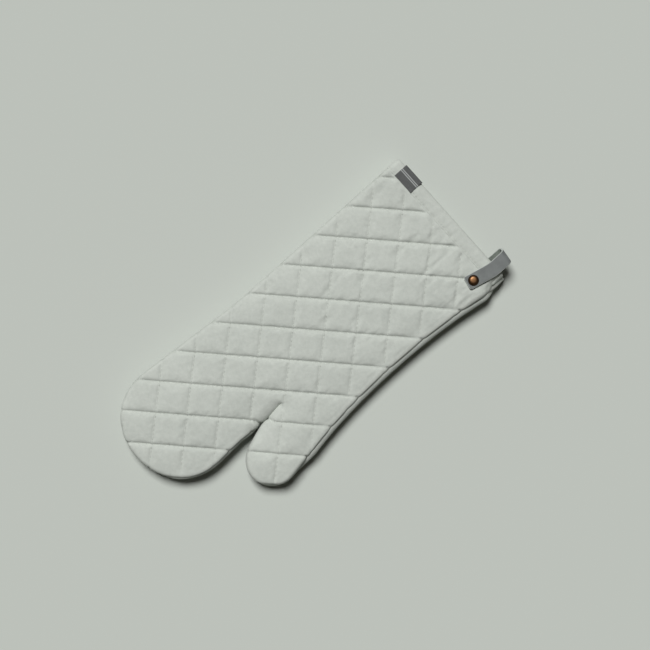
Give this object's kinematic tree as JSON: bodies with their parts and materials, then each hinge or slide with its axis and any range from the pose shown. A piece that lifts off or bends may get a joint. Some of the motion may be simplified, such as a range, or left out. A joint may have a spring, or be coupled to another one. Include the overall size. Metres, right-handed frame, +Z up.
{
  "type": "oven mitt",
  "caption": "Flat quilted cotton oven mitt with a separate thumb, a bound cuff, a folded woven label and a leather hanging loop that turns on one domed rivet.",
  "frame": {"origin": "under the middle of the mitt's box, on the surface that it lies on", "axes": "+Y from the cuff towards the fingertips, +Z up out of the front panel, the thumb on -X"},
  "size_m": [0.1719, 0.3962, 0.0291],
  "materials": {
    "cover_cotton": "matt plain-woven cotton, pale sage grey",
    "wadding": "soft white felted wadding",
    "lining_cotton": "matt plain-woven cotton",
    "binding_tape": "matt plain-woven cotton tape",
    "sewing_thread": "matt twisted cotton thread",
    "label_weave": "dense dark woven tape",
    "strap_leather": "grey smooth leather with pale cut edges",
    "rivet_copper": "polished antique copper"
  },
  "bodies": {
    "mitt": {"front_cover": "cover_cotton", "back_cover": "cover_cotton", "front_wadding": "wadding", "back_wadding": "wadding", "front_lining": "lining_cotton", "back_lining": "lining_cotton", "cuff_binding": "binding_tape", "binding_thread": "sewing_thread", "front_quilting_thread": "sewing_thread", "back_quilting_thread": "sewing_thread", "side_seam_thread": "sewing_thread", "woven_label": "label_weave", "rivet_cap": "rivet_copper", "rivet_base": "rivet_copper"},
    "loop": {"hanging_loop": "strap_leather"}
  },
  "joints": [
    {"name": "loop_swivel", "type": "hinge", "parent": "mitt", "child": "loop", "pos_m": [-0.06023, -0.15784, 0.0257], "axis": [0, 0, 1], "range_deg": [-12, 38]}
  ]
}
